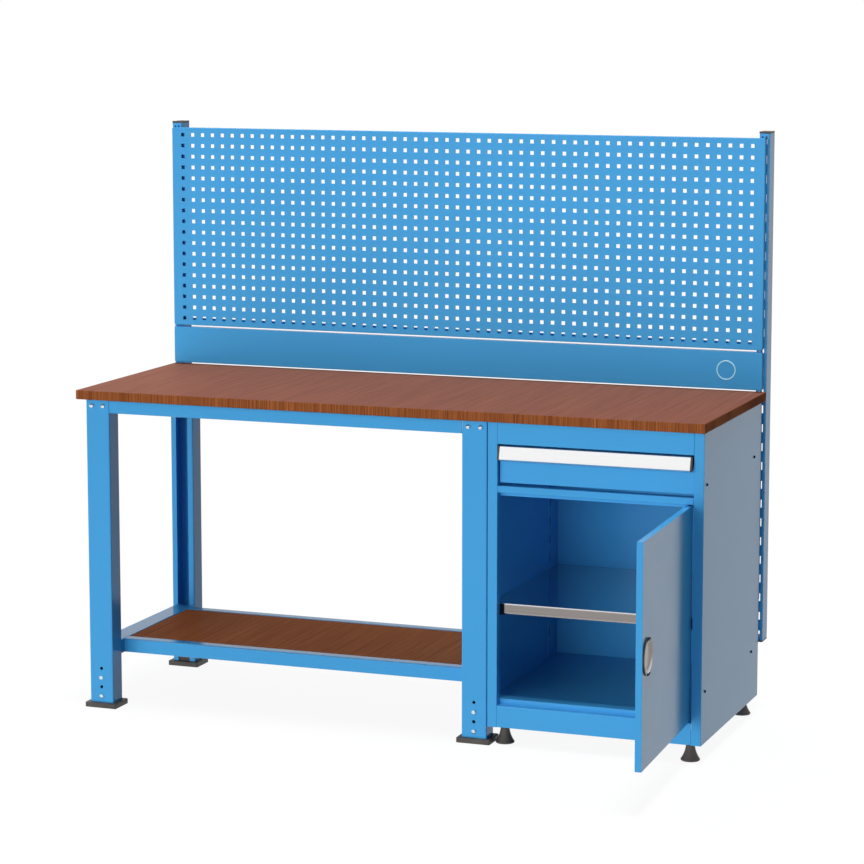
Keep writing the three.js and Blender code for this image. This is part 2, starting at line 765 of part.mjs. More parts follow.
// Loose shelf between the standards, with a front lip that stops short of its ends
function makeInnerShelf() {
  const { height, lip, hem, lipEnd, front, back } = innerShelf;
  const top = floorTop + height;
  const shelfFront = frontY + front;
  const section = foldedSection(
    [
      [backY - back, top - lip],
      [backY - back, top],
      [shelfFront, top],
      [shelfFront, top - lip],
      [shelfFront + hem, top - lip],
    ],
    cabinetSheet,
  );
  const standardFace = cabinetSheet + standard.thickness + 2 * fit;
  const half = cabinetWidth / 2 - standardFace;
  const lipHalf = cabinetWidth / 2 - lipEnd;
  const lipFront = shelfFront - overcut;
  const lipBack = shelfFront + hem + overcut;
  const lipCut = (x0, x1) => blockSolid(x0, x1, lipFront, lipBack, top - lip - overcut, top - cabinetSheet);
  const shelf = solid(runX(section, 2 * half))
    .subtract(lipCut(-cabinetWidth, -lipHalf))
    .subtract(lipCut(lipHalf, cabinetWidth));
  place(bench, "cabinet_shelf", geometryOf(shelf), zincSteel, cabinetCentreX);

  const clipTop = top - cabinetSheet - fit;
  const clipBottom = clipTop - clip.height;
  const frontClip = runY(rectangle(cabinetSheet + fit, lipEnd - fit, clipBottom, clipTop), clip.length);
  const wall = standardFace;
  const rearClip = runY(
    polygon([
      [wall, clipTop],
      [wall, clipBottom],
      [wall + clip.foot, clipBottom],
      [wall + clip.reach, clipTop - clip.tip],
      [wall + clip.reach, clipTop],
    ]),
    clip.length,
  );
  const rows = { front: [frontClip, shelfFront + clip.length / 2], rear: [rearClip, standardY] };
  for (const [row, [geometry, y]] of Object.entries(rows)) {
    place(bench, `shelf_clip_${row}_left`, geometry, blackPlastic, cabinetLeftX, y);
    place(bench, `shelf_clip_${row}_right`, geometry, blackPlastic, cabinetRightX, y).rotation.z = Math.PI;
  }
}

// Shallow pan, closed at the front, with a lip all round its open back
function pan(x0, x1, y0, y1, z0, z1) {
  const s = panSheet;
  return blockSolid(x0, x1, y0, y1, z0, z1)
    .subtract(blockSolid(x0 + s, x1 - s, y0 + s, y1 - s, z0 + s, z1 - s))
    .subtract(blockSolid(x0 + panLip, x1 - panLip, y1 - 2 * s, y1 + s, z0 + panLip, z1 - panLip));
}

function makeDrawer() {
  const half = openWidth / 2 - drawerGap;
  const top = frontTop;
  const frontBackY = drawerFaceY + drawerFront.thickness;
  const front = pan(-half, half, drawerFaceY, frontBackY, frontBottom, top);
  place(bench, "drawer_front", geometryOf(front), blueSteel, cabinetCentreX);

  const boxHalf = openWidth / 2 - runner.width;
  const s = drawerBox.sheet;
  const boxBack = drawerBoxY + drawerBoxDepth;
  const boxTop = boxBottom + drawerBox.height;
  const tray = blockSolid(-boxHalf, boxHalf, drawerBoxY, boxBack, boxBottom, boxTop).subtract(
    blockSolid(-boxHalf + s, boxHalf - s, drawerBoxY + s, boxBack - s, boxBottom + s, boxTop + s),
  );
  place(bench, "drawer_box", geometryOf(tray), blueSteel, cabinetCentreX);

  const backFaceY = drawerFaceY - fit;
  const toeY = backFaceY - handle.reach + fit;
  const toeZ = top - handle.height + handle.lipDrop;
  const grip = foldedSection(
    [
      [backFaceY, top - handle.backFlange],
      [backFaceY, top],
      [backFaceY - handle.top, top],
      [toeY, toeZ],
      [toeY + handle.lip, toeZ - handle.lipDrop],
    ],
    handle.sheet,
    handle.sheet,
  );
  const gripLength = 2 * (half - handle.cap - fit);
  place(bench, "drawer_handle", runX(grip, gripLength), aluminium, cabinetCentreX);
  const capOutline = polygon([
    [backFaceY, top],
    [backFaceY - handle.top, top],
    [toeY, toeZ],
    [toeY + handle.lip, toeZ - handle.lipDrop],
    [backFaceY, top - handle.backFlange],
  ]);
  const cap = runX(capOutline, handle.cap);
  const capX = half - handle.cap / 2;
  place(bench, "handle_cap_left", cap, blackPlastic, cabinetCentreX - capX);
  place(bench, "handle_cap_right", cap, blackPlastic, cabinetCentreX + capX);
}

// Three-part runners: a fixed channel on the cabinet, a middle channel and a channel on the drawer
function makeRunners() {
  const { width, height, sheet: s, standoff } = runner;
  const length = runnerLength;
  const half = height / 2;
  const start = fit * 2;
  const wall = stile - cabinetSheet - fit;
  const rect = (x0, x1, z0, z1) => blockSolid(x0, x1, -length / 2, length / 2, z0, z1);
  const mouth = width - 3 * s;
  const fixed = join([
    rect(start, start + s, -half, half),
    rect(start, mouth, half - s, half),
    rect(start, mouth, -half, s - half),
    rect(-wall, start + s, standoff / 2 - s, standoff / 2),
    rect(-wall, start + s, -standoff / 2, s - standoff / 2),
  ]);
  const channel = (x0, x1, reach) =>
    runY(
      foldedSection(
        [
          [x1, reach],
          [x0, reach],
          [x0, -reach],
          [x1, -reach],
        ],
        s,
        s,
      ),
      length,
    );
  const middleReach = half - s - fit;
  const middle = channel(start + s + fit, mouth - s / 2, middleReach);
  const innerReach = middleReach - s - fit;
  const inner = channel(fit - width, 3 * s + fit - width + s, innerReach);
  const y = drawerBoxY + length / 2;
  const fixedGeometry = geometryOf(fixed);
  for (const [side, x, turn] of [
    ["left", openLeftX, 0],
    ["right", openRightX, Math.PI],
  ]) {
    place(bench, `runner_fixed_${side}`, fixedGeometry, zincSteel, x, y, runnerCentre).rotation.z = turn;
    place(bench, `runner_middle_${side}`, middle, zincSteel, x, y, runnerCentre).rotation.z = turn;
    place(bench, `runner_inner_${side}`, inner, zincSteel, x, y, runnerCentre).rotation.z = turn + Math.PI;
  }
}

// Door pan on two pins, with a round cup handle near its free edge, drawn closed about its hinge line
function makeDoor() {
  door.position.set(hinge.x, hinge.y, 0);
  door.rotation.z = doorTurn;
  bench.add(door);

  const cupX = doorFreeX + cupPlace.inset;
  const cupZ = doorBottom + cupPlace.height;
  const skinHole = (cup.radius + cup.bore) / 2;
  const pinHoles = solid(
    bar(hingePin.radius + hingePin.play, doorBottom - overcut, doorTop + overcut, hingePin.sides, 0, 0),
  );
  const cupHole = new THREE.CylinderGeometry(skinHole, skinHole, 2 * panSheet, cup.sides);
  cupHole.translate(cupX, -hingeInset.face, cupZ);
  const leaf = pan(doorFreeX, hingeInset.side, -hingeInset.face, doorBackY, doorBottom, doorTop)
    .subtract(pinHoles)
    .subtract(solid(cupHole));
  place(door, "door", geometryOf(leaf), blueSteel);

  const bezel = turned(
    [
      [cup.bore, fit],
      [cup.radius, fit],
      [cup.radius, cup.raise / 2],
      [cup.radius - cup.edge, cup.raise],
      [cup.bore + cup.edge, cup.raise],
      [cup.bore, cup.raise / 2],
      [cup.bore, fit],
    ],
    cup.sides,
  );
  const rim = skinHole - fit;
  const dish = turned(
    [
      [0, -cup.depth],
      [rim - cup.flare, -cup.depth],
      [rim, -cup.depth / 2],
      [rim, 0],
      [rim - cup.wall, 0],
      [rim - cup.wall, -cup.depth / 2 + cup.wall / 2],
      [rim - cup.flare - cup.wall / 2, -cup.depth + cup.wall],
      [0, -cup.depth + cup.wall],
    ],
    cup.sides,
  );
  place(door, "door_bezel", bezel, blackPlastic, cupX, -hingeInset.face, cupZ).rotation.x = Math.PI / 2;
  place(door, "door_dish", dish, satinMetal, cupX, -hingeInset.face, cupZ).rotation.x = Math.PI / 2;
}

function makeHingePins() {
  const half = hingePin.length / 2;
  const pin = bar(hingePin.radius, -half, half, hingePin.sides, 0, 0);
  place(bench, "hinge_pin_top", pin, zincSteel, hinge.x, hinge.y, doorTop + doorGap / 2);
  place(bench, "hinge_pin_foot", pin, zincSteel, hinge.x, hinge.y, doorBottom - doorGap / 2);
}

makeWorktop();
makeLegs();
makeTopRails();
makeLowerShelf();
makeUprights();
makeUprightBrackets();
makePanel();
makeStrip();
makeCabinetSides();
makeCabinetCore();
makeCabinetFeet();
makeShelfStandards();
makeInnerShelf();
makeDrawer();
makeRunners();
makeDoor();
makeHingePins();

// The origin is under the middle of the whole object, open door included
const freeCornerY = hinge.y + doorFreeX * Math.sin(doorTurn) + doorBackY * Math.cos(doorTurn);
const rearY = uprightFrontY + upright.depth;
bench.position.y = -(freeCornerY + rearY) / 2;

export default bench;
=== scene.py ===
import math

import bmesh
import bpy
import numpy as np
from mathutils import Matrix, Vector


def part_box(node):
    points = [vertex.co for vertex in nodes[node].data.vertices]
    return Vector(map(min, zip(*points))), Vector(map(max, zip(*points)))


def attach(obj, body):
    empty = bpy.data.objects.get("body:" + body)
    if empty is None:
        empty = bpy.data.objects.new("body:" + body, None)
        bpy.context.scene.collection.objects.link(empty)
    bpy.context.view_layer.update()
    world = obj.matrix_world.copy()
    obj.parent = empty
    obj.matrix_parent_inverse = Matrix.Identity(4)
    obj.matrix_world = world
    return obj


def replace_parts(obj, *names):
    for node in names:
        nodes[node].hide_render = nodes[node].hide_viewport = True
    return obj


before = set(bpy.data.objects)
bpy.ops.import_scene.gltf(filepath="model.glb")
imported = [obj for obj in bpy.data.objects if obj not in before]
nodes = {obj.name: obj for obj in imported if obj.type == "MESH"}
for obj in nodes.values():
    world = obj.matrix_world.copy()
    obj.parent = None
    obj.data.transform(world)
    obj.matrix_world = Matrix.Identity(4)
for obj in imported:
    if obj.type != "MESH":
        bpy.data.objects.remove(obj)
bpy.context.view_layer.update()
print("frame loaded,", len(nodes), "nodes")

bpy.context.scene.view_settings.view_transform = "Standard"


# corners of a node as arrays
def boxOf(name):
    low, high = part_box(name)
    return np.array(low), np.array(high)


# surface on a grid: cell (i, j) joins points i, i+1 and j, j+1, and keep says which cells are there
def gridFaces(rows, columns, closeRows=False, closeColumns=False, keep=None):
    index = np.arange(rows * columns).reshape(rows, columns)
    i = np.arange(rows if closeRows else rows - 1)
    j = np.arange(columns if closeColumns else columns - 1)
    i2, j2 = (i + 1) % rows, (j + 1) % columns
    corners = [index[np.ix_(a, b)] for a, b in ((i, j), (i2, j), (i2, j2), (i, j2))]
    faces = np.stack(corners, -1)
    return faces[keep] if keep is not None else faces.reshape(-1, 4)


# several surfaces to one merged mesh object, standing where its points are
def makePiece(name, surfaces, material, body, sharp=40.0):
    points, faces, count = [], [], 0
    for surface, cells in surfaces:
        flat = surface.reshape(-1, 3)
        points.append(flat)
        faces.append(cells + count)
        count += len(flat)
    mesh = bpy.data.meshes.new(name)
    mesh.from_pydata(np.concatenate(points).tolist(), [], np.concatenate(faces).tolist())
    work = bmesh.new()
    work.from_mesh(mesh)
    bmesh.ops.remove_doubles(work, verts=work.verts, dist=1e-6)
    bmesh.ops.dissolve_degenerate(work, dist=1e-7, edges=work.edges)
    bmesh.ops.recalc_face_normals(work, faces=work.faces)
    work.to_mesh(mesh)
    work.free()
    if sharp:
        mesh.shade_smooth()
        mesh.set_sharp_from_angle(angle=math.radians(sharp))
    mesh.materials.append(material)
    piece = bpy.data.objects.new(name, mesh)
    bpy.context.scene.collection.objects.link(piece)
    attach(piece, body)
    return piece


# profile of (radius, height) turned about an axis: centre + height * axis + radius * (cos a, sin a) across it
def turnedSurface(profile, centre, axis, sides, swell=None):
    axis = np.array(axis, float) / np.linalg.norm(axis)
    across = np.cross(axis, (0.0, 0.0, 1.0) if abs(axis[2]) < 0.9 else (1.0, 0.0, 0.0))
    across /= np.linalg.norm(across)
    beside = np.cross(axis, across)
    angle = np.arange(sides) * 2 * math.pi / sides
    ring = np.cos(angle)[:, None] * across + np.sin(angle)[:, None] * beside
    profile = np.array(profile, float)
    radius = profile[:, 0][:, None] * (np.ones(sides) if swell is None else swell(angle))
    surface = np.array(centre) + profile[:, 1][:, None, None] * axis + radius[..., None] * ring
    return surface, gridFaces(len(profile), sides, closeColumns=True)


# block: rings of four corners joined in order, with the first and the last ring filled
def loftedBlock(rings):
    last = 4 * (len(rings) - 1)
    ends = np.array([[0, 1, 2, 3], [last, last + 1, last + 2, last + 3]])
    return rings, np.concatenate((gridFaces(len(rings), 4, closeColumns=True), ends))


# new material with its node tree and its shader
def newFinish(name):
    material = bpy.data.materials.new(name)
    material.use_nodes = True
    tree = material.node_tree
    shader = tree.nodes["Principled BSDF"]
    return material, tree, shader


# one node, with its settings and the values of its sockets
def add(tree, kind, values=None, **settings):
    made = tree.nodes.new(kind)
    for key, value in settings.items():
        setattr(made, key, value)
    for key, value in (values or {}).items():
        made.inputs[key].default_value = value
    return made


# noise stretched by scale (cells per metre along X, Y, Z), read on Object coordinates
def stretchedNoise(tree, scale, detail=2.0, roughness=0.5, distortion=0.0):
    place = add(tree, "ShaderNodeTexCoord")
    mapping = add(tree, "ShaderNodeMapping", {"Scale": scale})
    noise = add(
        tree,
        "ShaderNodeTexNoise",
        {"Scale": 1.0, "Detail": detail, "Roughness": roughness, "Distortion": distortion},
    )
    tree.links.new(place.outputs["Object"], mapping.inputs["Vector"])
    tree.links.new(mapping.outputs["Vector"], noise.inputs["Vector"])
    return noise.outputs["Fac"]


# straight line from (fromLow, low) to (fromHigh, high), flat outside
def remap(tree, source, low, high, fromLow=0.3, fromHigh=0.7):
    scale = add(
        tree,
        "ShaderNodeMapRange",
        {"From Min": fromLow, "From Max": fromHigh, "To Min": low, "To Max": high},
    )
    tree.links.new(source, scale.inputs["Value"])
    return scale.outputs["Result"]


# colours by position, straight lines between the stops
def ramp(tree, source, stops):
    made = add(tree, "ShaderNodeValToRGB")
    elements = made.color_ramp.elements
    while len(elements) < len(stops):
        elements.new(0.5)
    for element, (position, colour) in zip(elements, stops):
        element.position = position
        element.color = (*colour, 1.0)
    tree.links.new(source, made.inputs["Fac"])
    return made.outputs["Color"]


# (1 - factor) * first + factor * blend of first and second
def mixColours(tree, factor, first, second, blend="MIX"):
    made = add(tree, "ShaderNodeMix", data_type="RGBA", blend_type=blend)
    for key, value in ((0, factor), (6, first), (7, second)):
        if isinstance(value, bpy.types.NodeSocket):
            tree.links.new(value, made.inputs[key])
        else:
            made.inputs[key].default_value = value if key == 0 else (*value, 1.0)
    return made.outputs[2]


# rounded edge: the normal within the radius of an edge leans over to the next face
def roundedEdge(tree, radius, samples=6):
    made = add(tree, "ShaderNodeBevel", {"Radius": radius}, samples=samples)
    return made.outputs["Normal"]


# how far the rounded normal leans away from the face: 0 on the flat, more along edges
def edgeLean(tree, rounded):
    flat = add(tree, "ShaderNodeNewGeometry")
    dot = add(tree, "ShaderNodeVectorMath", operation="DOT_PRODUCT")
    tree.links.new(rounded, dot.inputs[0])
    tree.links.new(flat.outputs["Normal"], dot.inputs[1])
    return remap(tree, dot.outputs["Value"], 1.0, 0.0, 0.75, 1.0)


# how far a face looks up: 1 for a level top, 0 for an upright face
def upward(tree, normal=None):
    flat = add(tree, "ShaderNodeNewGeometry")
    parts = add(tree, "ShaderNodeSeparateXYZ")
    tree.links.new(normal or flat.outputs["Normal"], parts.inputs["Vector"])
    return parts.outputs["Z"]


# normal leaned by the slope of a height
def bumpFrom(tree, height, strength, distance, normal=None):
    made = add(tree, "ShaderNodeBump", {"Strength": strength, "Distance": distance})
    tree.links.new(height, made.inputs["Height"])
    if normal is not None:
        tree.links.new(normal, made.inputs["Normal"])
    return made.outputs["Normal"]


paintLook = {
    "colour": (0.062, 0.385, 0.785),
    "shade": 0.96,  # darker end of the slow change in tone
    "edge": (0.10, 0.47, 0.86),  # painted highlight: paler blue along the folds, standing in for the light they catch
    "slow": 3.0,  # cells per metre of the change in tone
    "patch": 14.0,  # cells per metre of the change in gloss
    "rough": (0.17, 0.21),
    "peel": 900.0,  # cells of orange peel per metre
    "relief": (0.05, 0.0002),  # strength and height of the orange peel
    "index": 1.315,  # refraction
}


# sprayed enamel: one blue with a slow change in tone, orange peel, and a painted highlight of paler blue along
# the folded edges
def makePaint(name, rounding):
    material, tree, shader = newFinish(name)
    tone = stretchedNoise(tree, (paintLook["slow"],) * 3, detail=3.0)
    base = np.array(paintLook["colour"])
    colour = ramp(tree, tone, [(0.3, tuple(base * paintLook["shade"])), (0.7, tuple(base))])
    rounded = roundedEdge(tree, rounding)
    lean = edgeLean(tree, rounded)
    # painted highlight: folded edges are mixed toward the paler blue
    paintedEdgeHighlight = mixColours(tree, lean, colour, paintLook["edge"])
    tree.links.new(paintedEdgeHighlight, shader.inputs["Base Color"])
    gloss = stretchedNoise(tree, (paintLook["patch"],) * 3, detail=2.0)
    tree.links.new(remap(tree, gloss, *paintLook["rough"]), shader.inputs["Roughness"])
    peel = stretchedNoise(tree, (paintLook["peel"],) * 3, detail=1.0)
    tree.links.new(bumpFrom(tree, peel, *paintLook["relief"], rounded), shader.inputs["Normal"])
    shader.inputs["IOR"].default_value = paintLook["index"]
    return material


woodLook = {
    "dark": (0.135, 0.036, 0.012),
    "middle": (0.270, 0.084, 0.028),
    "light": (0.420, 0.140, 0.046),
    "fine": (560.0, 3.0, 5.0),  # streaks per metre across, along and down
    "broad": (70.0, 1.2, 4.0),
    "stops": (0.34, 0.5, 0.66),  # places of the three shades in the noise
    "shade": (0.86, 0.84, 0.83),  # darker bands
    "bandStops": (0.32, 0.68),
    "banded": 0.8,  # share of the bands
    "paintedTopSlope": (0.6, 0.95),  # how far up a face has to look to take the painted tint
    "rough": (0.5, 0.38),
    "relief": (0.12, 0.0003),  # strength and depth of the streaks
    "edge": 0.0015,  # rounding
    "shine": 0.002,
    "top": {"tone": 1.07, "paintedTopLight": (0.350, 0.168, 0.148), "paintedTopShare": 0.42},  # painted reflection: share of mauve on the upper face, standing in for the blue panel's reflection; tone 1.07 lifts the wood a little as painted light
    # painted light: tone 1.78 makes the shaded shelf board far brighter, and its upper face is mixed toward a
    # lighter orange
    "shelf": {"tone": 1.78, "paintedTopLight": (0.450, 0.142, 0.047), "paintedTopShare": 0.38},
}


# oiled board: fine streaks run front to back and down the edge, over broader bands; the upper face is tinted
# with painted light, a reflection on the worktop and extra light on the shaded shelf
def makeWood(name, board):
    material, tree, shader = newFinish(name)
    fine = stretchedNoise(tree, woodLook["fine"], detail=4.0, roughness=0.65)
    broad = stretchedNoise(tree, woodLook["broad"], detail=3.0, roughness=0.6, distortion=0.4)
    # tone is painted light: the same wood brightened per board
    shades = [tuple(board["tone"] * np.array(woodLook[key])) for key in ("dark", "middle", "light")]
    streaks = ramp(tree, fine, list(zip(woodLook["stops"], shades)))
    bands = ramp(tree, broad, list(zip(woodLook["bandStops"], (woodLook["shade"], (1.0, 1.0, 1.0)))))
    colour = mixColours(tree, woodLook["banded"], streaks, bands, "MULTIPLY")
    # painted light on level faces: mixed toward the board's tint
    paintedTopLight = remap(tree, upward(tree), 0.0, board["paintedTopShare"], *woodLook["paintedTopSlope"])
    withPaintedTop = mixColours(tree, paintedTopLight, colour, board["paintedTopLight"])
    tree.links.new(withPaintedTop, shader.inputs["Base Color"])
    tree.links.new(remap(tree, fine, *woodLook["rough"]), shader.inputs["Roughness"])
    rounded = roundedEdge(tree, woodLook["edge"])
    tree.links.new(bumpFrom(tree, fine, *woodLook["relief"], rounded), shader.inputs["Normal"])
    shader.inputs["Specular IOR Level"].default_value = woodLook["shine"]
    return material


plasticLook = {
    "patch": 30.0,  # cells per metre of the change in tone
    "edge": 0.0012,  # rounding
    "relief": (0.15, 0.0002),  # strength and height of the grain
    "matt": {
        "colour": (0.050, 0.045, 0.042),
        "pale": (0.075, 0.068, 0.063),
        "grain": 1500.0,
        "rough": (0.46, 0.58),
    },
    "gloss": {
        "colour": (0.010, 0.011, 0.013),
        "pale": (0.016, 0.017, 0.019),
        "grain": 900.0,
        "rough": (0.14, 0.20),
    },
    # painted highlight: pale blue for the cover's rim, standing in for the light its rounded bead catches
    "pale": {
        "colour": (0.46, 0.86, 1.00),
        "pale": (0.52, 0.88, 1.00),
        "grain": 900.0,
        "rough": (0.40, 0.50),
    },
    # painted highlight: near-white for the band inside the cup, standing in for its lit inner wall
    "white": {
        "colour": (0.78, 0.80, 0.84),
        "pale": (0.84, 0.86, 0.90),
        "grain": 900.0,
        "rough": (0.20, 0.30),
    },
    # near-black navy with little shine: dark screws, clips and lugs, and painted shade in the standards' slots
    "darkAndShade": {
        "colour": (0.004, 0.008, 0.018),
        "pale": (0.006, 0.012, 0.026),
        "grain": 900.0,
        "rough": (0.70, 0.85),
        "shine": 0.05,
    },
}


# moulded plastic: fine grain in gloss and relief, a little paler in patches
def makePlastic(name, look):
    material, tree, shader = newFinish(name)
    patch = stretchedNoise(tree, (plasticLook["patch"],) * 3, detail=3.0)
    colour = ramp(tree, patch, [(0.35, look["colour"]), (0.7, look["pale"])])
    tree.links.new(colour, shader.inputs["Base Color"])
    grain = stretchedNoise(tree, (look["grain"],) * 3, detail=1.0)
    tree.links.new(remap(tree, grain, *look["rough"]), shader.inputs["Roughness"])
    rounded = roundedEdge(tree, plasticLook["edge"])
    tree.links.new(bumpFrom(tree, grain, *plasticLook["relief"], rounded), shader.inputs["Normal"])
    shader.inputs["Specular IOR Level"].default_value = look.get("shine", 0.5)
    return material


metalLook = {
    "edge": 0.0006,  # rounding
    "relief": (0.04, 0.0002),  # strength and depth of the streaks
    "zinc": {
        "colour": (0.30, 0.278, 0.264),
        "spread": 0.85,  # darker streaks
        "streak": (3.0, 240.0, 240.0),  # per metre along X, Y and Z
        "rough": (0.10, 0.16),
        "top": (0.64, 0.63, 0.62),  # painted reflection: brighter metal colour on the upper face, so it mirrors the back wall more strongly
        "paintedFoldHighlight": (0.95, 0.95, 0.95),  # painted highlight: bright line where the upper face turns down
        # rounding that spreads the painted fold highlight
        "turn": 0.005,
        "foldSlope": (0.10, 0.25),  # how far up a face has to look to be the fold, and to be the top
        "topSlope": (0.96, 0.98),
    },
    "aluminium": {
        "colour": (0.95, 0.952, 0.957),
        "spread": 0.96,
        "streak": (2.0, 500.0, 500.0),
        "rough": (0.26, 0.34),
    },
    "satin": {
        "colour": (0.56, 0.52, 0.48),
        "spread": 0.9,
        "streak": (300.0, 300.0, 300.0),
        "rough": (0.26, 0.36),
    },
    "bright": {
        "colour": (0.76, 0.84, 0.88),
        "spread": 0.92,
        "streak": (200.0, 200.0, 200.0),
        "rough": (0.06, 0.12),
    },
    # near-black metal for the hinge pins: painted shade that keeps the gap above the door dark
    "dark": {
        "colour": (0.030, 0.034, 0.042),
        "spread": 0.8,
        "streak": (300.0, 300.0, 300.0),
        "rough": (0.35, 0.5),
    },
}


# bare metal: rolled or drawn streaks change tone and gloss; on an upper face a painted reflection brightens the
# top and a painted highlight draws a bright line at its fold
def makeMetal(name, look):
    material, tree, shader = newFinish(name)
    streak = stretchedNoise(tree, look["streak"], detail=3.0)
    base = np.array(look["colour"])
    colour = ramp(tree, streak, [(0.3, tuple(base * look["spread"])), (0.7, tuple(base))])
    shader.inputs["Metallic"].default_value = 1.0
    if "top" in look:
        # painted highlight: faces near the fold that look partly up are mixed toward near-white
        turned = upward(tree, roundedEdge(tree, look["turn"]))
        paintedFoldHighlight = remap(tree, turned, 0.0, 1.0, *look["foldSlope"])
        colour = mixColours(tree, paintedFoldHighlight, colour, look["paintedFoldHighlight"])
        # painted reflection: level faces take the brighter top colour
        flat = remap(tree, upward(tree), 0.0, 1.0, *look["topSlope"])
        colour = mixColours(tree, flat, colour, look["top"])
    tree.links.new(colour, shader.inputs["Base Color"])
    tree.links.new(remap(tree, streak, *look["rough"]), shader.inputs["Roughness"])
    rounded = roundedEdge(tree, metalLook["edge"])
    tree.links.new(bumpFrom(tree, streak, *metalLook["relief"], rounded), shader.inputs["Normal"])
    return material


bluePaint = makePaint("blue_enamel", 0.0005)
bluePan = makePaint("blue_enamel_pan", 0.0012)
paintedHighlightRim = makePlastic("painted_highlight_rim", plasticLook["pale"])
topBoard = makeWood("top_board", woodLook["top"])
shelfBoard = makeWood("shelf_board", woodLook["shelf"])
blackPlastic = makePlastic("black_moulding", plasticLook["matt"])
glossPlastic = makePlastic("gloss_moulding", plasticLook["gloss"])
darkPlasticAndShade = makePlastic("dark_moulding_and_painted_shade", plasticLook["darkAndShade"])
paintedHighlightBand = makePlastic("painted_highlight_band", plasticLook["white"])
zincSteel = makeMetal("zinc_steel", metalLook["zinc"])
aluminium = makeMetal("drawn_aluminium", metalLook["aluminium"])
satinMetal = makeMetal("satin_dish", metalLook["satin"])
brightSteel = makeMetal("bright_bolt", metalLook["bright"])
darkPinShade = makeMetal("dark_pin_painted_shade", metalLook["dark"])
print("finishes made")

# finish of every carried-over node, by the start of its name
nodeFinish = [
    ("worktop", topBoard),
    ("shelf_board", shelfBoard),
    ("leg_foot", blackPlastic),
    ("upright_cap", blackPlastic),
    ("cabinet_foot", blackPlastic),
    ("shelf_clip", darkPlasticAndShade),
    ("handle_cap", blackPlastic),
    ("door_bezel", blackPlastic),
    ("cabinet_shelf", zincSteel),
    ("runner", zincSteel),
    ("hinge_pin", darkPinShade),
    ("drawer_handle", aluminium),
    ("door_dish", satinMetal),
    ("drawer", bluePan),
    ("door", bluePan),
]
for name, node in nodes.items():
    finish = next((made for start, made in nodeFinish if name.startswith(start)), bluePaint)
    node.data.materials.clear()
    node.data.materials.append(finish)

panelShape = {
    "sheet": 0.0015,
    "bend": 0.0024,
    "steps": 4,
    "hem": 0.019,  # lip that stands up behind the bottom edge
    "sideHem": 0.033,  # lips behind the side edges, on the uprights
    "hole": 0.010,
    "pitch": 0.030,
    "columns": 55,
    "rows": 18,
}


# one end of a folded line: straight back by depth, a quarter circle, then the flat; a hem turns in once more
# behind it. Gives distance from the edge and place back
def foldedEnd(depth, hem):
    bend = panelShape["bend"]
    turn = np.linspace(0, math.pi / 2, panelShape["steps"] + 1)
    inward, back = bend * (1 - np.cos(turn)), bend * (1 - np.sin(turn))
    if hem:
        return np.concatenate(([hem], back, inward)), np.concatenate(([depth], depth - inward, back))
    return np.concatenate(([0.0], inward)), np.concatenate(([depth], back))


# line of folded sheet from low to high through the inner points, with an end at each side
def foldedLine(low, high, depth, inner, hems=(0.0, 0.0)):
    start, startBack = foldedEnd(depth, hems[0])
    end, endBack = foldedEnd(depth, hems[1])
    place = np.concatenate((low + start, inner, high - end[::-1]))
    return place, np.concatenate((startBack, np.zeros(len(inner)), endBack[::-1]))


# edges of square holes: centre minus and plus half the hole
def holeEdges(centres):
    half = panelShape["hole"] / 2
    return np.stack((centres - half, centres + half), -1).ravel()


# cells of a line that lie in a hole
def inHole(place, back, centres):
    middle = (place[1:] + place[:-1]) / 2
    flat = (back[1:] == 0) & (back[:-1] == 0)
    near = np.abs(middle[:, None] - centres[None, :]).min(1) < panelShape["hole"] / 2
    return flat & near


# one folded sheet from two lines: (x, front + back, z), without the corners where both lines fold
def foldedSheet(front, lineX, lineZ, cut=None):
    (x, backX), (z, backZ) = lineX, lineZ
    surface = np.empty((len(x), len(z), 3))
    surface[..., 0] = x[:, None]
    surface[..., 1] = front + backX[:, None] + backZ[None, :]
    surface[..., 2] = z[None, :]
    foldX = (backX[1:] > 0) | (backX[:-1] > 0)
    foldZ = (backZ[1:] > 0) | (backZ[:-1] > 0)
    keep = ~(foldX[:, None] & foldZ[None, :])
    if cut is not None:
        keep &= ~cut
    return surface, gridFaces(len(x), len(z), keep=keep)


# sheet: the surface and a second one behind it
def thicken(piece):
    wall = piece.modifiers.new("sheet", "SOLIDIFY")
    wall.thickness = panelShape["sheet"]
    wall.offset = -1.0
    wall.use_even_offset = True
    return piece


# panel: a folded sheet whose lines run along the hole edges, so that each hole is one cell left out
def makePanel():
    low, high = boxOf("perforated_panel")
    pitch = panelShape["pitch"]
    middle = (low + high) / 2
    columns = middle[0] + pitch * (np.arange(panelShape["columns"]) - (panelShape["columns"] - 1) / 2)
    rows = middle[2] + pitch * (np.arange(panelShape["rows"]) - (panelShape["rows"] - 1) / 2)
    depth = high[1] - low[1]
    lineX = foldedLine(low[0], high[0], depth, holeEdges(columns), (panelShape["sideHem"],) * 2)
    lineZ = foldedLine(low[2], high[2], depth, holeEdges(rows), (panelShape["hem"], 0.0))
    cut = inHole(*lineX, columns)[:, None] & inHole(*lineZ, rows)[None, :]
    sheet = foldedSheet(low[1], lineX, lineZ, cut)
    piece = makePiece("panel_sheet", [sheet], bluePaint, "bench_frame", sharp=0)
    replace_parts(thicken(piece), "perforated_panel")


portShape = {
    "radius": 0.025,
    "patch": 0.034,  # half the square round the port
    "steps": 10,
    "disc": 0.0247,  # part of the cover in the port
    "proud": 0.0002,
    "rim": 0.0034,
    "raise": 0.0011,
    "sides": 64,
}


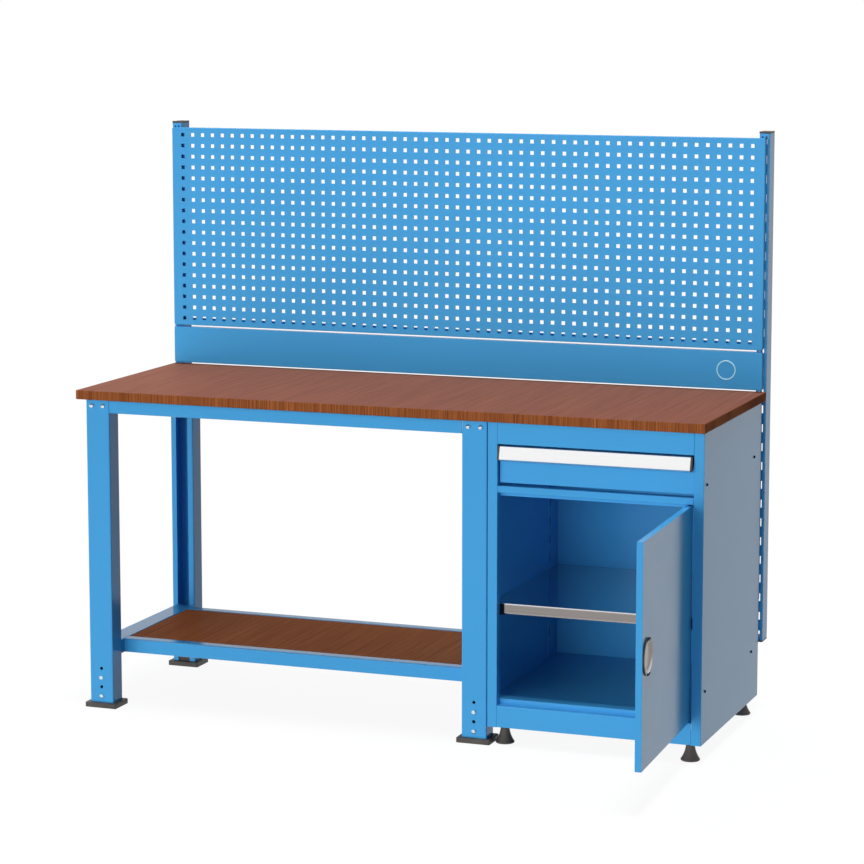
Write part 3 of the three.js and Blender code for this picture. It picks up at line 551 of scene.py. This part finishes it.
# ring between a circle and a square: (1 - t) * circle point + t * square point at the same step
def portPatch(centreX, centreZ, front):
    steps, half = portShape["steps"], portShape["patch"]
    side = np.linspace(-half, half, steps + 1)[:-1]
    squareX = np.concatenate((side, np.full(steps, half), -side, np.full(steps, -half)))
    squareZ = np.concatenate((np.full(steps, -half), side, np.full(steps, half), -side))
    angle = np.arctan2(squareZ, squareX)
    t = np.linspace(0, 1, 4)[:, None]
    patch = np.empty((4, 4 * steps, 3))
    patch[..., 0] = centreX + (1 - t) * portShape["radius"] * np.cos(angle) + t * squareX
    patch[..., 1] = front
    patch[..., 2] = centreZ + (1 - t) * portShape["radius"] * np.sin(angle) + t * squareZ
    return patch, gridFaces(4, 4 * steps, closeColumns=True)


# strip: a folded sheet with the port's patch let in, and the cover turned from its profile
def makeStrip():
    low, high = boxOf("cable_strip")
    coverLow, coverHigh = boxOf("strip_port_cover")
    centre = (coverLow + coverHigh) / 2
    half = portShape["patch"]
    lines = np.linspace(-half, half, portShape["steps"] + 1)
    depth = high[1] - low[1]
    lineX = foldedLine(low[0], high[0], depth, centre[0] + lines)
    lineZ = foldedLine(low[2], high[2], depth, centre[2] + lines)
    inX = np.abs((lineX[0][1:] + lineX[0][:-1]) / 2 - centre[0]) < half
    inZ = np.abs((lineZ[0][1:] + lineZ[0][:-1]) / 2 - centre[2]) < half
    sheet = foldedSheet(low[1], lineX, lineZ, inX[:, None] & inZ[None, :])
    patch = portPatch(centre[0], centre[2], low[1])
    piece = makePiece("strip_sheet", [sheet, patch], bluePaint, "bench_frame", sharp=0)
    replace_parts(thicken(piece), "cable_strip")

    # cover: flat disc, and a rim whose section is half an ellipse, coloured pale blue as a painted highlight
    outer = (coverHigh[0] - coverLow[0]) / 2
    half = portShape["rim"] / 2
    centre[1] = low[1]
    inner = outer - portShape["rim"]
    plug, back, proud = portShape["disc"], -panelShape["sheet"], portShape["proud"]
    profile = [(0.0, back), (plug, back), (plug, 0.0), (inner, 0.0), (inner, proud), (0.0, proud)]
    disc = turnedSurface(profile, centre, (0, -1, 0), portShape["sides"])
    cover = makePiece("port_cover", [disc], bluePaint, "bench_frame")
    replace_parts(cover, "strip_port_cover")
    turn = np.linspace(0, math.pi, 9)
    arch = np.stack((outer - half + half * np.cos(turn), proud / 2 + portShape["raise"] * np.sin(turn)), -1)
    rim = turnedSurface(np.concatenate((arch, arch[:1])), centre, (0, -1, 0), portShape["sides"])
    makePiece("port_rim", [rim], paintedHighlightRim, "bench_frame", sharp=60.0)


makePanel()
makeStrip()
print("panel and strip made")

footShape = {
    "neck": 0.011,
    "lip": 0.005,
    "edge": 0.001,  # bevel of the lip
    "step": 0.0012,  # from the lip in to the cone
    "seat": 0.0457,  # height under the cabinet
    "stem": 0.005,
    "sides": 48,
    "steps": 14,
    "power": 2.2,
}


# conical foot: radius falls from base to neck as (1 - t) ** power above a short upright lip
def makeCabinetFeet():
    for end in ("front", "rear"):
        for side in ("left", "right"):
            name = f"cabinet_foot_{end}_{side}"
            low, high = boxOf(name)
            centre = (low + high) / 2
            base, top = (high[0] - low[0]) / 2, high[2] - low[2]
            lip, edge, neck = footShape["lip"], footShape["edge"], footShape["neck"]
            t = np.linspace(0, 1, footShape["steps"])
            rise = lip + t * (footShape["seat"] - lip)
            radius = neck + (base - footShape["step"] - neck) * (1 - t) ** footShape["power"]
            profile = [(0, 0), (base - edge, 0), (base, edge), (base, lip - edge)]
            profile += list(zip(radius, rise))
            profile += [(footShape["stem"], footShape["seat"]), (footShape["stem"], top), (0, top)]
            body = turnedSurface(profile, (centre[0], centre[1], low[2]), (0, 0, 1), footShape["sides"])
            piece = makePiece(f"foot_{end}_{side}", [body], blackPlastic, "bench_frame")
            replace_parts(piece, name)


makeCabinetFeet()
print("cabinet feet made")

boltShape = {
    "radius": 0.0062,
    "height": 0.0072,
    "wall": 0.25,  # upright part of the height, under the dome
    "socket": 0.0014,
    "rim": 1.3,  # flat round the socket, to its radius
    "edge": 0.0002,
    "deep": 0.0014,
    "point": 0.0006,  # cone at the bottom of the socket
    "sides": 36,
}


# button head: dome of an ellipse, and a six-sided socket whose radius is a / cos(angle within one side)
def boltHead(centre, axis, scale=1.0):
    r, h = boltShape["radius"] * scale, boltShape["height"] * scale
    turn = np.linspace(0, math.pi / 2, 7)
    socket, deep = boltShape["socket"] * scale, boltShape["deep"] * scale
    rim, wall = boltShape["rim"] * socket, boltShape["wall"]
    dome = [(r * math.cos(a), h * (wall + (1 - wall) * math.sin(a))) for a in turn if r * math.cos(a) > rim]
    hole = [(rim, h), (socket, h - boltShape["edge"]), (socket, h - deep), (0.0, h - deep - boltShape["point"])]
    profile = [(r, 0.0)] + dome + hole
    hexed = np.array([p[0] == socket for p in profile])

    def swell(angle):
        within = np.mod(angle, math.pi / 3) - math.pi / 6
        return np.where(hexed[:, None], 1 / np.cos(within)[None, :], 1.0)

    return turnedSurface(profile, centre, axis, boltShape["sides"], swell)


legBolts = {"foot": (0.030, 0.080), "top": 0.8085, "spread": 0.0165}


# two bolts low on each leg, for the foot, and a pair at its top, for the rail
def makeBolts():
    heads = []
    for end, outward in (("front", -1.0), ("rear", 1.0)):
        for side in ("left", "mid"):
            low, high = boxOf(f"leg_{end}_{side}")
            middle = (low[0] + high[0]) / 2
            face = low[1] if outward < 0 else high[1]
            heads += [boltHead((middle, face, z), (0, outward, 0)) for z in legBolts["foot"]]
            for shift in (-legBolts["spread"], legBolts["spread"]):
                heads.append(boltHead((middle + shift, face, legBolts["top"]), (0, outward, 0)))
    makePiece("leg_bolts", heads, brightSteel, "bench_frame")


sideScrews = {
    "places": ((-0.045, 0.694), (0.418, 0.692), (-0.042, 0.178), (0.415, 0.178)),  # y and z
    "scale": 0.62,
    "sink": 0.0012,
}


# four small heads let into each side of the cabinet
def makeSideScrews():
    for side, outward in (("left", -1.0), ("right", 1.0)):
        low, high = boxOf(f"cabinet_side_{side}")
        face = low[0] if outward < 0 else high[0]
        heads = [
            boltHead((face - outward * sideScrews["sink"], y, z), (outward, 0, 0), sideScrews["scale"])
            for y, z in sideScrews["places"]
        ]
        makePiece(f"side_screws_{side}", heads, darkPlasticAndShade, "bench_frame")


slotShape = {"width": 0.0088, "length": 0.0208, "pitch": 0.050, "margin": 0.052, "deep": 0.0003}


# painted shade: dark plates in the slots of the shelf standards stand in for the shaded hollow behind them
def makeSlotShade():
    shadePlates = []
    for side, wall in (("left", 0), ("right", 1)):
        low, high = boxOf(f"shelf_standard_{side}")
        x0 = low[0] if wall == 0 else high[0] - slotShape["deep"]
        middle = (low[1] + high[1]) / 2
        y = middle + slotShape["width"] * np.array((-0.5, 0.5, 0.5, -0.5))
        for z in np.arange(high[2] - slotShape["margin"], low[2] + slotShape["margin"], -slotShape["pitch"]):
            rings = np.empty((2, 4, 3))
            rings[..., 0] = np.array((x0, x0 + slotShape["deep"]))[:, None]
            rings[..., 1] = y
            rings[..., 2] = z + slotShape["length"] * np.array((-0.5, -0.5, 0.5, 0.5))
            shadePlates.append(loftedBlock(rings))
    makePiece("slot_shade_plates", shadePlates, darkPlasticAndShade, "bench_frame", sharp=0)


makeBolts()
makeSideScrews()
makeSlotShade()
print("bolts, screws and slots made")

grip = {
    "rest": 92.5,  # degrees the door stands open at rest
    "outer": 0.045,
    "bore": 0.0375,
    "raise": 0.004,
    "deep": 0.011,
    "clear": 0.0003,  # gap to the door and between the pieces
    "shoulder": 0.0008,
    "band": 0.0018,  # width of the band's seat
    "bandWall": 0.0008,
    "wall": 0.0015,
    "floorWall": 0.0012,
    "flare": 0.0085,
    "play": 0.0001,
    "lug": 22.0,  # degrees to each side of the top and the bottom
    "sides": 72,
}


# cup in the door: a flat ring with two lugs, a band inside it coloured near-white as a painted highlight, and a
# dish whose floor rises as an ellipse
def makeDoorCup():
    low, high = boxOf("door_bezel")
    turn = math.radians(grip["rest"])
    out = np.array((math.sin(turn), -math.cos(turn), 0.0))
    clear, play, wall = grip["clear"], grip["play"], grip["wall"]
    centre = (low + high) / 2 - out * (grip["raise"] + clear) / 2
    outer, top = grip["outer"], grip["raise"] - clear
    inner = grip["bore"] + grip["band"]
    a = np.linspace(0, math.pi / 2, 5)
    bend = grip["shoulder"]
    shoulder = np.stack((outer - bend * (1 - np.sin(a)), top - bend * (1 - np.cos(a))), -1)
    profile = [(inner, clear), (inner, top), *shoulder, (outer, clear), (inner, clear)]
    ring = turnedSurface(profile, centre, out, grip["sides"])
    piece = makePiece("cup_ring", [ring], glossPlastic, "door")
    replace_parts(piece, "door_bezel")

    # lugs: the ring's section run a little higher over a short arc
    side = np.cross(out, (0.0, 0.0, 1.0))
    reach = np.array((inner, outer - play, outer - play, inner))
    rise = np.array((clear, clear, grip["raise"], grip["raise"]))
    lugs = []
    for sign in (-1.0, 1.0):
        arc = np.radians(np.linspace(-grip["lug"], grip["lug"], 9))[:, None, None]
        spoke = np.sin(arc) * side + sign * np.cos(arc) * np.array((0.0, 0.0, 1.0))
        lugs.append(loftedBlock(centre + reach[None, :, None] * spoke + rise[None, :, None] * out))
    makePiece("cup_lugs", lugs, darkPlasticAndShade, "door", sharp=30.0)

    bandOut, bandFoot = inner - play, -grip["floorWall"]
    bandIn = bandOut - grip["bandWall"]
    profile = [(bandIn, bandFoot), (bandOut, bandFoot), (bandOut, top), (bandIn, top), (bandIn, bandFoot)]
    band = turnedSurface(profile, centre, out, grip["sides"])
    makePiece("cup_band", [band], paintedHighlightBand, "door")

    # dish: from the rim down a quarter of an ellipse to the floor, and the same a wall lower
    rim, deep = (grip["outer"] + grip["bore"]) / 2 - clear, grip["deep"]
    b = np.linspace(math.pi / 2, 0, 12)
    across = rim - wall - grip["flare"] * (1 - np.sin(b))
    floor = np.stack((across, wall - deep + (deep - wall) * (1 - np.cos(b))), -1)
    under = floor[::-1] + np.array((wall, -grip["floorWall"]))
    under[:, 0] = np.minimum(under[:, 0], rim)
    under[:, 1] = np.maximum(under[:, 1], -deep)
    under[0, 1] = 0.0
    profile = np.concatenate(([(0.0, floor[-1, 1])], floor[::-1], under, [(0.0, -deep)]))
    dish = turnedSurface(profile, centre, out, grip["sides"])
    piece = makePiece("cup_dish", [dish], satinMetal, "door", sharp=60.0)
    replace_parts(piece, "door_dish")


makeDoorCup()
print("door cup made")

studio = {
    "key": {"strength": 2.74, "towards": (-0.36, -0.925, -0.12), "soft": 70.0},  # soft is degrees across
    "front": {"strength": 0.46, "towards": (-0.10, -0.99, -0.03), "soft": 24.0},
    "above": {"strength": 2.0, "towards": (0.075, -0.05, 1.0), "soft": 12.0},
    "behind": {"strength": 1.2, "towards": (-0.6, 0.7, 0.35), "soft": 60.0},
    "right": {"strength": 0.16, "towards": (1.0, 0.1, 0.1), "soft": 60.0},
    "ambient": 0.135,
    "floorSize": 80.0,
    "floorDrop": 0.0003,
    "floorWhite": 0.925,  # share of the floor that shows plain white
    "floorLit": 0.085,  # share that takes light and shadow
}


# sun lamp turned to shine from its direction
def makeLamp(name):
    look = studio[name]
    lamp = bpy.data.lights.new(name, "SUN")
    lamp.energy = look["strength"]
    lamp.angle = math.radians(look["soft"])
    made = bpy.data.objects.new(name, lamp)
    x, y, z = look["towards"]
    lean = math.acos(z / math.sqrt(x * x + y * y + z * z))
    made.rotation_euler = (lean, 0.0, math.atan2(y, x) + math.pi / 2)
    made.visible_glossy = False
    bpy.context.scene.collection.objects.link(made)


# 1 for rays that show the plain white, 0 for the light that falls on the object
def plainRays(tree):
    path = add(tree, "ShaderNodeLightPath")
    seen = path.outputs["Is Camera Ray"]
    for kind in ("Is Glossy Ray", "Is Transmission Ray"):
        larger = add(tree, "ShaderNodeMath", operation="MAXIMUM")
        tree.links.new(seen, larger.inputs[0])
        tree.links.new(path.outputs[kind], larger.inputs[1])
        seen = larger.outputs[0]
    return seen


# dim world that shows white, five lamps, and a floor of both
def makeStudio():
    world = bpy.data.worlds.new("studio")
    bpy.context.scene.world = world
    world.use_nodes = True
    tree = world.node_tree
    tree.nodes.clear()
    dim = add(tree, "ShaderNodeBackground", {"Color": (1, 1, 1, 1), "Strength": studio["ambient"]})
    white = add(tree, "ShaderNodeBackground", {"Color": (1, 1, 1, 1), "Strength": 1.0})
    mix = add(tree, "ShaderNodeMixShader")
    out = add(tree, "ShaderNodeOutputWorld")
    tree.links.new(plainRays(tree), mix.inputs[0])
    tree.links.new(dim.outputs[0], mix.inputs[1])
    tree.links.new(white.outputs[0], mix.inputs[2])
    tree.links.new(mix.outputs[0], out.inputs["Surface"])

    for name in ("key", "front", "above", "behind", "right"):
        makeLamp(name)

    # floor: mostly plain white where it is seen, with the lit part on top for the shadow
    material = bpy.data.materials.new("pale_floor")
    material.use_nodes = True
    tree = material.node_tree
    tree.nodes.clear()
    lit = add(tree, "ShaderNodeBsdfDiffuse", {"Color": (*(studio["floorLit"],) * 3, 1)})
    glow = add(tree, "ShaderNodeEmission", {"Color": (1, 1, 1, 1), "Strength": studio["floorWhite"]})
    both = add(tree, "ShaderNodeAddShader")
    mix = add(tree, "ShaderNodeMixShader")
    out = add(tree, "ShaderNodeOutputMaterial")
    tree.links.new(lit.outputs[0], both.inputs[0])
    tree.links.new(glow.outputs[0], both.inputs[1])
    tree.links.new(plainRays(tree), mix.inputs[0])
    tree.links.new(lit.outputs[0], mix.inputs[1])
    tree.links.new(both.outputs[0], mix.inputs[2])
    tree.links.new(mix.outputs[0], out.inputs["Surface"])
    half = studio["floorSize"] / 2
    line = np.linspace(-half, half, 3)
    surface = np.empty((3, 3, 3))
    surface[..., 0], surface[..., 1], surface[..., 2] = line[:, None], line[None, :], -studio["floorDrop"]
    mesh = bpy.data.meshes.new("floor")
    mesh.from_pydata(surface.reshape(-1, 3).tolist(), [], gridFaces(3, 3).tolist())
    mesh.materials.append(material)
    floor = bpy.data.objects.new("floor", mesh)
    bpy.context.scene.collection.objects.link(floor)
    floor.visible_shadow = False  # the soft key reaches a little below the horizon


view = {
    "place": (2.6601, -6.7900, 1.8982),
    "down": 7.755,  # degrees below level
    "turn": 20.574,
    "lens": 120.62,
    "sensor": 36.0,
    "shiftY": -0.06,
    "far": 200.0,
}


# camera at its place, looking down by one angle and turned by the other
def makeCamera():
    data = bpy.data.cameras.new("view")
    data.sensor_width = view["sensor"]
    data.lens = view["lens"]
    data.shift_y = view["shiftY"]
    data.clip_end = view["far"]
    camera = bpy.data.objects.new("view", data)
    camera.location = view["place"]
    camera.rotation_euler = (math.radians(90.0 - view["down"]), 0.0, math.radians(view["turn"]))
    bpy.context.scene.collection.objects.link(camera)
    bpy.context.scene.camera = camera


makeStudio()
makeCamera()
print("light and camera set")
